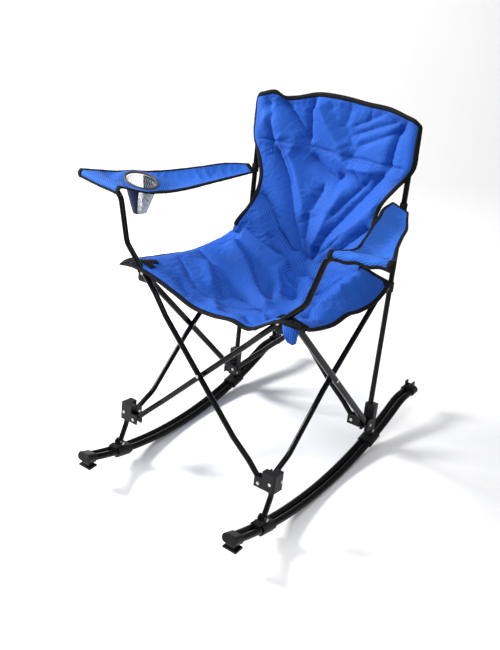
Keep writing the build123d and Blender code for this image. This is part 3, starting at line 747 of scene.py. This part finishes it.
# The seam across the back at the foot of its pockets: two rows of stitches
seam_t = [
    (-252, 160, 893),
    (-180, 170, 893),
    (-88, 180, 888),
    (0, 190, 884),
    (95, 180, 881),
    (174, 170, 883),
    (252, 160, 888),
]
seam_low = [(x, n, t - 7) for x, n, t in seam_t]
back_stitches = stitches("back_stitches", back_tree, [seam_t, seam_low], BACKWARD)
seat_lines = [
    [(-245, -153, 560), (-109, -226, 540), (-17, -205, 530), (61, -149, 530)],
    [(-245, -146, 560), (-109, -219, 540), (-17, -198, 530), (61, -142, 530)],
    [(112, -60, 530), (160, 65, 540), (218, 130, 560)],
    [(119, -62, 530), (167, 62, 540), (224, 126, 560)],
]
seat_stitches = stitches("seat_stitches", seat_tree, seat_lines, DOWN)

# Strips for the left side, as name, line, width and count of steps
PATCHES = [
    ("corner_patch_1", [(266, -310, 585), (246, -284, 582), (230, -250, 576)], 21, 18),
    (
        "corner_patch_2",
        [(292, -308, 580), (262, -296, 583), (236, -288, 583), (206, -290, 580)],
        21,
        18,
    ),
    ("rear_patch", [(257, 150, 582), (251, 136, 581), (246, 122, 580)], 22, 16),
]
patches = []
for sign, side in ((-1, "right"), (1, "left")):
    for ending, line, width, count in PATCHES:
        mirrored = [(sign * x, n, t) for x, n, t in line]
        name = f"{side}_{ending}"
        patches.append(
            ribbon(name, seat_tree, mirrored, width, 1.8, BLACK_TAPE, DOWN, lift=0.002, count=count)
        )


def flap():
    """The cloth's corner pocket that hangs below the left front corner."""
    top = [(236, -318, 573), (250, -325, 571), (268, -323, 571), (284, -315, 568)]
    middle = [(244, -322, 557), (257, -332, 552), (272, -328, 549), (283, -318, 552)]
    low = [(260, -324, 541), (267, -329, 534), (274, -325, 531), (281, -318, 535)]
    rows = [place(r) for r in (top, middle, low)]
    points = loft(rows, np.linspace(0, 1, 24), np.linspace(0, 1, 20))
    wave = np.sin(np.linspace(0, 3 * math.pi, 24))[None, :] * np.linspace(0, 1, 20)[:, None]
    points -= wave[..., None] * BACKWARD * 0.003
    cut, _ = lengths(points)
    faces = grid_faces(20, 24)
    obj = mesh_object("corner_flap", points.reshape(-1, 3), faces, SEAT_BLUE, cut.reshape(-1, 2))
    return thicken(obj, THIN_CLOTH)


corner_flap = flap()
thicken(seat, CLOTH)
thicken(back, CLOTH)

# ---------------------------------------------------------------- armrests

# The cup ring's middle, its height in millimetres, and its rise outward and to the back
CUP = np.array([-376, -178])
RING_HEIGHT, RING_TILT, RING_LEAN = 764.4, 0.29, 0.072
# The first row of an armrest's grid behind its sleeve
MAIN_START = 10


def armrest(inner, outer, wave):
    """An armrest's grid: a sleeve over the arm tube at the front, then two edges to the post."""
    us = spaced(46, 150)
    vs = np.linspace(0, 1, 92)
    a, b = curve(inner, vs)[:, None], curve(outer, vs)[:, None]
    main = a * (1 - us[:, None]) + b * us[:, None]
    sleeve = []
    for out, down in [(11, -19), (14, -12), (14, -5), (8, 1)]:
        step = main[0].copy()
        step[:, 1] -= out
        step[:, 2] += down + wave(us)
        sleeve.append(step)
    sleeve.append(main[0])
    dense = []
    for step, after in zip(sleeve[:-1], sleeve[1:]):
        dense += [step, (step + after) / 2]
    return np.concatenate([np.array(dense), main])


def shape_arm(grid, lines):
    """Raises folds on an armrest, none at its edges or on its sleeve."""
    heights = folds(grid[..., :2], lines)
    rows, columns = grid.shape[:2]
    edge = np.minimum(np.arange(columns), columns - 1 - np.arange(columns))[None, :]
    fade = np.clip(edge / 4, 0, 1) * np.clip((np.arange(rows)[:, None] - 9) / 4, 0, 1)
    grid[..., 2] += heights * fade
    return grid


near_inner = [
    (329, -296, 769),
    (344, -284, 770),
    (350, -250, 767),
    (324, -150, 770),
    (294, -63, 782),
    (268, 10, 788),
    (244, 70, 793),
    (228, 150, 797),
]
near_outer = [
    (484, -294, 783),
    (452, -230, 771),
    (419, -164, 766),
    (364, -35, 765),
    (327, 57, 766),
    (300, 105, 774),
    (275, 152, 780),
]
far_inner = [
    (-326, -296, 769),
    (-316, -238, 753),
    (-303, -147, 744),
    (-284, -82, 751),
    (-268, -13, 762),
    (-258, 66, 771),
    (-238, 150, 785),
]
far_outer = [
    (-484, -295, 787),
    (-445, -170, 776),
    (-400, -62, 777),
    (-350, 30, 789),
    (-310, 110, 800),
    (-265, 156, 803),
]

near_grid = armrest(near_inner, near_outer, lambda u: 2.2 * np.sin(u * 17) * (u > 0.2))
near_grid = shape_arm(
    near_grid,
    [
        ([(340, -260), (330, -160), (300, -20)], 5, 16, 1.5),
        ([(420, -250), (385, -150), (340, -30)], 5, 18, 1.5),
        ([(375, -270), (360, -180)], -7, 14, 1.3),
        ([(330, -60), (290, 60)], -5, 14, 1.3),
        ([(440, -262), (470, -275)], -5, 12, 1.3),
    ],
)
far_grid = armrest(far_inner, far_outer, lambda u: 0.6 * np.sin(u * 9))
far_grid = shape_arm(
    far_grid,
    [
        ([(-300, -60), (-330, -100)], -4, 14, 1.3),
        ([(-330, 10), (-290, 90)], 4, 14, 1.4),
        ([(-440, -250), (-400, -260)], -3, 12, 1.3),
    ],
)

def ring_plane(x, n):
    """Height of the cup ring's tilted plane, where the right armrest lies flat round it."""
    return RING_HEIGHT + (n - CUP[1]) * RING_LEAN - (x - CUP[0]) * RING_TILT


cup_gap = np.hypot(far_grid[..., 0] - CUP[0], far_grid[..., 1] - CUP[1])
near_ring = np.exp(-((np.maximum(cup_gap - 50, 0) / 16) ** 2))
near_ring = near_ring * (np.arange(far_grid.shape[0])[:, None] >= MAIN_START)
ring_height = ring_plane(far_grid[..., 0], far_grid[..., 1])
far_grid[..., 2] = far_grid[..., 2] * (1 - near_ring) + ring_height * near_ring

rows, columns = near_grid.shape[:2]
across = np.arange(columns)[None, :]
down = np.arange(rows)[:, None]
sewn = (np.minimum(across, columns - 1 - across) < 3) | (down < 14) | (down > rows - 5)
arm_hold = np.where(sewn, 1.0, ARM_HOLD)
near_arm, near_grid_done = settle("left_armrest_cloth", place(near_grid), ARM_BLUE, arm_hold, 0.03, 20)
far_hold = np.maximum(arm_hold, np.where(cup_gap < 66, 1.0, 0.0))
far_arm, far_grid_done = settle("right_armrest_cloth", place(far_grid), ARM_BLUE, far_hold, 0.02, 20)


def cut_hole(obj, grid, radius):
    """Opens the cup's hole: faces inside go, and the points round it are set on the circle."""
    drawn = far_grid.reshape(-1, 3).copy()
    away = np.hypot(drawn[:, 0] - CUP[0], drawn[:, 1] - CUP[1])
    within = (away < radius) & (np.arange(len(drawn)) >= MAIN_START * columns)
    faces = grid_faces(rows, columns)
    keep = [f for f in faces if not any(within[i] for i in f)]
    rim = sorted({i for f in faces if any(within[i] for i in f) for i in f if not within[i]})
    drawn[rim, :2] = CUP + (drawn[rim, :2] - CUP) * (radius / away[rim])[:, None]
    drawn[rim, 2] = ring_plane(drawn[rim, 0], drawn[rim, 1])
    points = grid.reshape(-1, 3).copy()
    points[rim] = place(drawn[rim])
    order = sorted({i for f in keep for i in f})
    renumber = {old: new for new, old in enumerate(order)}
    cut = lengths(grid)[0].reshape(-1, 2)[order]
    name = obj.name
    bpy.data.objects.remove(obj)
    faces = [tuple(renumber[i] for i in f) for f in keep]
    return mesh_object(name, points[order], faces, ARM_BLUE, cut)


far_arm = cut_hole(far_arm, far_grid_done, 45.5)
near_tape = tape("left_armrest_binding", near_grid_done, ("left", "right", "front", "rear"))
far_tape = tape("right_armrest_binding", far_grid_done, ("left", "right", "front", "rear"))
near_tree = surface_of(near_arm)
far_tree = surface_of(far_arm)
near_lines = [[(332, -262, 765), (395, -264, 770), (455, -262, 772)]]
far_lines = [
    [(-334, -262, 765), (-400, -264, 770), (-455, -255, 775)],
    [(-322, -230, 760), (-308, -147, 745), (-292, -82, 755)],
]
near_stitches = stitches("left_armrest_stitches", near_tree, near_lines, DOWN)
far_stitches = stitches("right_armrest_stitches", far_tree, far_lines, DOWN)
thicken(near_arm, CLOTH)
thicken(far_arm, CLOTH)

# ---------------------------------------------------------------- cup holder's pouch

POUCH_DEPTH = 88
# Pairs of net cords round the pouch
STRANDS = 44


def pouch_point(angle, depth):
    """A point of the pouch's wall at a depth below the armrest, in millimetres."""
    share = depth / POUCH_DEPTH
    radius = 43.5 - 27 * share**1.15
    x = CUP[0] + radius * math.cos(angle)
    n = CUP[1] + radius * math.sin(angle)
    tilt = (n - CUP[1]) * RING_LEAN - (x - CUP[0]) * RING_TILT
    return x, n, 762.5 - depth + tilt * (1 - share)


def tube_through(paths, radius, sides=5):
    """Round cords along polylines."""
    points, faces = [], []
    for path in paths:
        path = np.asarray(path)
        ahead = np.gradient(path, axis=0)
        ahead /= np.linalg.norm(ahead, axis=1, keepdims=True)
        upright = np.abs(ahead[:, 2:3]) > 0.8
        other = np.where(upright, np.array([[1.0, 0, 0]]), np.array([[0, 0, 1.0]]))
        side = np.cross(ahead, other)
        side /= np.linalg.norm(side, axis=1, keepdims=True)
        high = np.cross(side, ahead)
        base = len(points)
        for p, s, h in zip(path, side, high):
            for k in range(sides):
                angle = 2 * math.pi * k / sides
                points.append(p + (s * math.cos(angle) + h * math.sin(angle)) * radius)
        faces += [tuple(base + i for i in f) for f in grid_faces(len(path), sides, wrap=True)]
        faces.append(tuple(base + k for k in range(sides)))
        faces.append(tuple(base + (len(path) - 1) * sides + k for k in reversed(range(sides))))
    return np.array(points), faces


net_paths = []
for number in range(STRANDS):
    turn = 2 * math.pi * number / STRANDS
    for lean in (-0.448, 0.448):
        path = [pouch_point(turn + lean * d / POUCH_DEPTH, d) for d in np.linspace(2, 86, 18)]
        net_paths.append(place(path))
net_paths.append(place([pouch_point(a, 86) for a in np.linspace(0, 2 * math.pi, 40)]))
for number in range(-4, 5):
    reach = math.sqrt(max(16.5**2 - (number * 3.6) ** 2, 1))
    base = pouch_point(0, 87)[2]
    ends = np.linspace(-reach, reach, 8)
    net_paths.append(place([(CUP[0] + number * 3.6, CUP[1] + e, base) for e in ends]))
    net_paths.append(place([(CUP[0] + e, CUP[1] + number * 3.6, base) for e in ends]))
points, faces = tube_through(net_paths, 0.00055)
net = mesh_object("cup_net", points, faces, NET)


def pouch_strap():
    """A band down the front of the pouch, under it and up the rear."""
    middle = -0.5 * math.pi - 0.08
    depths = np.linspace(1, POUCH_DEPTH, 14)
    rows_made = []
    for offset in np.linspace(-0.75, 0.75, 15):
        spread = offset * (1 - 0.25 * depths / POUCH_DEPTH)
        front = [pouch_point(middle + s, d) for s, d in zip(spread, depths)]
        rear = [pouch_point(middle + math.pi - s, d) for s, d in zip(spread, depths)]
        rows_made.append(front + rear[::-1])
    points = place(np.array(rows_made))
    centre = place(np.array([[CUP[0], CUP[1], 720]]))[0]
    flat = points - centre
    flat[..., 2] = 0
    flat /= np.linalg.norm(flat, axis=2, keepdims=True)
    points = points + flat * 0.0016
    cut, _ = lengths(points)
    faces = grid_faces(15, 28)
    obj = mesh_object("cup_strap", points.reshape(-1, 3), faces, NAVY, cut.reshape(-1, 2))
    return thicken(obj, 0.0014)


strap = pouch_strap()


def cup_lip():
    """The cup holder's moulded ring, tilted with the armrest."""
    profile = [
        (42.2, -1.6),
        (42.0, 1.2),
        (43.0, 2.6),
        (45.5, 3.2),
        (48.0, 2.6),
        (49.2, 1.2),
        (48.8, 0.2),
        (45.0, -0.4),
        (44.0, -2.0),
    ]
    turns = np.linspace(0, 2 * math.pi, 97)[:-1]
    rows_made = []
    for turn in turns:
        ring = []
        for radius, height in profile:
            x, n = CUP[0] + radius * math.cos(turn), CUP[1] + radius * math.sin(turn)
            ring.append((x, n, ring_plane(x, n) + 0.8 + height))
        rows_made.append(ring)
    rows_made.append(rows_made[0])
    points = place(np.array(rows_made))
    faces = grid_faces(97, len(profile), wrap=True)
    return mesh_object("cup_lip", points.reshape(-1, 3), faces, RING)


lip = cup_lip()


def post_loop(side, sign, height):
    """The armrest's black loop round the rear post."""
    turns = np.linspace(0, 2 * math.pi, 33)
    profile = [(8.0, -11), (9.0, -12), (10.2, -9), (9.8, 0), (10.4, 8), (9.4, 12), (8.0, 11)]
    rows_made = []
    for turn in turns:
        swell = 1 + 0.05 * math.sin(5 * turn)
        x, n = swell * math.cos(turn), swell * math.sin(turn)
        rows_made.append([(sign * 250 + r * x, 170 + r * n, height + h) for r, h in profile])
    points = place(np.array(rows_made))
    faces = grid_faces(33, len(profile), wrap=True)
    return mesh_object(side + "_post_loop", points.reshape(-1, 3), faces, BLACK_TAPE)


loops = {"left": post_loop("left", 1, 786), "right": post_loop("right", -1, 794)}

# ---------------------------------------------------------------- materials of the frame

SOFT = {"seat_sling", "back_panel", "left_armrest", "right_armrest", "cup_pouch"}
for name, node in nodes.items():
    if name in SOFT:
        continue
    if name == "cup_ring":
        material, finish = RING, "cup_ring"
    elif "rivet" in name or name.endswith(("_pin", "_pins")):
        material, finish = RIVET, "rivets"
    elif any(word in name for word in ("tube", "brace", "strut", "post")) and "cap" not in name:
        material, finish = STEEL, "frame_steel"
    else:
        material, finish = PLASTIC, "hub_plastic"
    node.data.materials.clear()
    node.data.materials.append(material)

# ---------------------------------------------------------------- bodies

for obj in [seat, seat_tape, seat_stitches, corner_flap] + patches:
    fold_seat(obj)
for obj in [back, back_tape, back_stitches] + pockets:
    fold_back(obj)
for side, sign, group in (
    ("left", 1, [near_arm, near_tape, near_stitches]),
    ("right", -1, [far_arm, far_tape, far_stitches]),
):
    for obj in group:
        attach(obj, side + "_arm")
        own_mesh(obj)
for obj, finish in ((net, "mesh"), (strap, "mesh"), (lip, "cup_ring")):
    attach(obj, "right_arm")
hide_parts("cup_ring")
for side, obj in loops.items():
    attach(obj, side + "_rear")

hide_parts("seat_sling")
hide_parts("back_panel")
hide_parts("left_armrest")
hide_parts("right_armrest")
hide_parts("cup_pouch")


# ---------------------------------------------------------------- floor, light and camera

# The floor runs back and curves up: CURVE is where it starts to rise, ROUND its radius, in metres
CURVE, ROUND = 2.4, 1.2
points = []
for y in np.concatenate([np.linspace(-3, CURVE, 30), np.linspace(2.5, CURVE + ROUND, 20)]):
    rise = max(0, y - CURVE)
    height = ROUND - math.sqrt(max(ROUND**2 - rise**2, 0)) if rise else 0.0
    for x in np.linspace(-4, 4, 9):
        points.append((x, y, height))
floor_mat, floor_tree, floor_main = shader("floor_pale")
floor_where = add_node(floor_tree, "ShaderNodeTexCoord").outputs["Object"]
floor_tone = ramp(floor_tree, noise(floor_tree, floor_where, 1.2, 2), ((0.3, 0.9), (0.7, 0.93)))
floor_tree.links.new(floor_tone, floor_main.inputs["Base Color"])
floor_main.inputs["Roughness"].default_value = 0.9
AZIMUTH, ELEVATION = math.radians(38.51), math.radians(28.55)
floor = mesh_object("floor", np.array(points), grid_faces(50, 9), floor_mat)
floor.rotation_euler = (0, 0, AZIMUTH)


def area_light(name, position, target, size, power):
    lamp = bpy.data.lights.new(name, "AREA")
    lamp.shape = "RECTANGLE"
    lamp.size, lamp.size_y = size
    lamp.energy = power
    shown = bpy.data.objects.new(name, lamp)
    shown.location = position
    aim = Vector(target) - Vector(position)
    shown.rotation_euler = aim.to_track_quat("-Z", "Y").to_euler()
    scene.collection.objects.link(shown)


area_light("key", (-2.6, -1.1, 2.1), (0, 0, 0.6), (0.8, 0.8), 180)
area_light("fill", (2.2, -2.0, 1.8), (0, 0, 0.5), (1.6, 1.8), 16)
area_light("top", (0.2, -0.5, 3.2), (0, 0, 0.5), (1.8, 1.6), 50)
world = bpy.data.worlds.new("studio")
world.use_nodes = True
world.node_tree.nodes["Background"].inputs["Color"].default_value = (1, 1, 1, 1)
world.node_tree.nodes["Background"].inputs["Strength"].default_value = 0.45
scene.world = world
scene.view_settings.view_transform = "Standard"

camera_data = bpy.data.cameras.new("camera")
camera_data.lens = 47.08
camera_data.sensor_width = 36
camera_data.clip_end = 50
camera = bpy.data.objects.new("camera", camera_data)
camera.location = (1.2576, -1.6181, 1.5234)
camera.rotation_euler = (math.pi / 2 - ELEVATION, 0, AZIMUTH)
scene.collection.objects.link(camera)
scene.camera = camera
